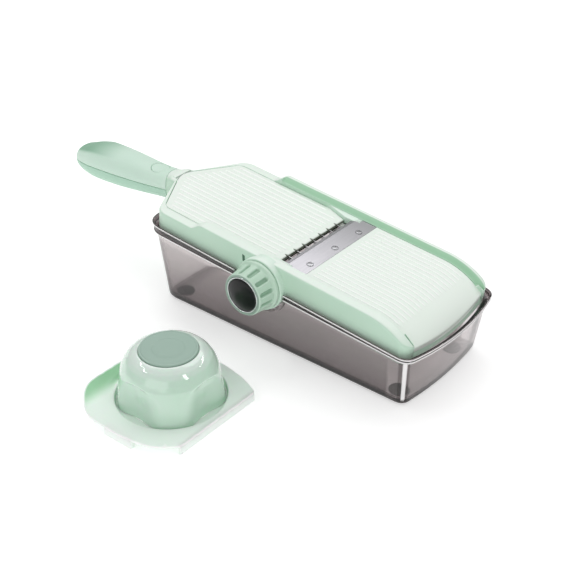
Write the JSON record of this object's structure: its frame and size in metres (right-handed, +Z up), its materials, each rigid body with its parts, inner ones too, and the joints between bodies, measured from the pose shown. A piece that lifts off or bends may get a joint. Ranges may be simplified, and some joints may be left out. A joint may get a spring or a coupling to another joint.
{
  "type": "mandoline slicer",
  "caption": "Hand mandoline slicer: handled sloping deck with steel blade and thickness knob on a clear catch box, and a separate domed hand guard.",
  "frame": {"origin": "centre of the footprint of the slicer, handle and hand guard together, on the surface they stand on", "axes": "+X along the deck from the handle to the landing end, +Y from the hand guard and knob side to the far side, +Z up"},
  "size_m": [0.3752, 0.2512, 0.0825],
  "materials": {
    "clear_smoke": "clear smoke-tinted plastic, polished, moulded in one piece",
    "silicone": "translucent grey silicone pad, matt",
    "mint_body": "pale mint moulded plastic, satin",
    "pale_deck": "near-white mint moulded plastic, satin, with fine ribs",
    "pale_guard": "very pale mint moulded plastic, satin",
    "blade_steel": "ground stainless steel with a bevelled edge",
    "polished_steel": "polished stainless steel",
    "nylon": "natural white nylon",
    "chrome_ring": "bright plated ring",
    "black_cap": "near-black glossy domed cap",
    "soft_grip": "soft-touch mint overmould",
    "dome_gloss": "glossy, slightly translucent pale mint plastic",
    "sage_disc": "sage green moulded disc with a pale edge bead"
  },
  "bodies": {
    "container": {"container": "clear_smoke", "container_foot_1": "silicone", "container_foot_2": "silicone", "container_foot_3": "silicone", "container_foot_4": "silicone"},
    "slicer": {"slicer_frame": "mint_body", "landing_deck": "pale_deck", "blade_plate": "blade_steel", "blade_rivet_1": "polished_steel", "blade_rivet_2": "polished_steel", "blade_rivet_3": "polished_steel", "ramp_hinge_pin": "polished_steel", "knob_bush": "nylon", "handle_grip_upper": "soft_grip", "handle_shell_lower": "mint_body", "handle_screw_1": "polished_steel", "handle_screw_2": "polished_steel", "thumb_plug": "soft_grip"},
    "knob": {"thickness_knob": "mint_body", "knob_ring": "chrome_ring", "knob_cap": "black_cap", "cam_shaft": "polished_steel", "thickness_cam_near": "nylon", "thickness_cam_far": "nylon", "shaft_clip": "polished_steel"},
    "ramp": {"ramp_plate": "pale_deck"},
    "julienne": {"julienne_comb": "blade_steel", "julienne_carrier": "nylon"},
    "guard": {"guard_tray": "pale_guard"},
    "plunger": {"plunger_dome": "dome_gloss", "plunger_disc": "sage_disc", "food_pin_plate": "nylon", "pin_plate_screw": "polished_steel"}
  },
  "joints": [
    {"name": "slicer_lift", "type": "slide", "parent": "container", "child": "slicer", "axis": [0, 0, 1], "range_m": [0, 0.12]},
    {"name": "knob_turn", "type": "hinge", "parent": "slicer", "child": "knob", "pos_m": [0.05389, 0.00958, 0.0576], "axis": [0, 1, 0], "range_deg": [-90, 180]},
    {"name": "ramp_tilt", "type": "hinge", "parent": "slicer", "child": "ramp", "pos_m": [-0.06657, 0.06958, 0.07532], "axis": [0, 1, 0], "range_deg": [-1.18, 2.36]},
    {"name": "julienne_lift", "type": "slide", "parent": "slicer", "child": "julienne", "axis": [0.0926, 0, 0.9957], "range_m": [-0.008, 0]},
    {"name": "guard_lift", "type": "slide", "parent": "container", "child": "guard", "axis": [0, 0, 1], "range_m": [0, 0.15]},
    {"name": "plunger_slide", "type": "slide", "parent": "guard", "child": "plunger", "axis": [0, 0, 1], "range_m": [0, 0.03]}
  ],
  "couplings": [
    {"joint": "ramp_tilt", "follows": "knob_turn", "ratio": 0.0131}
  ]
}
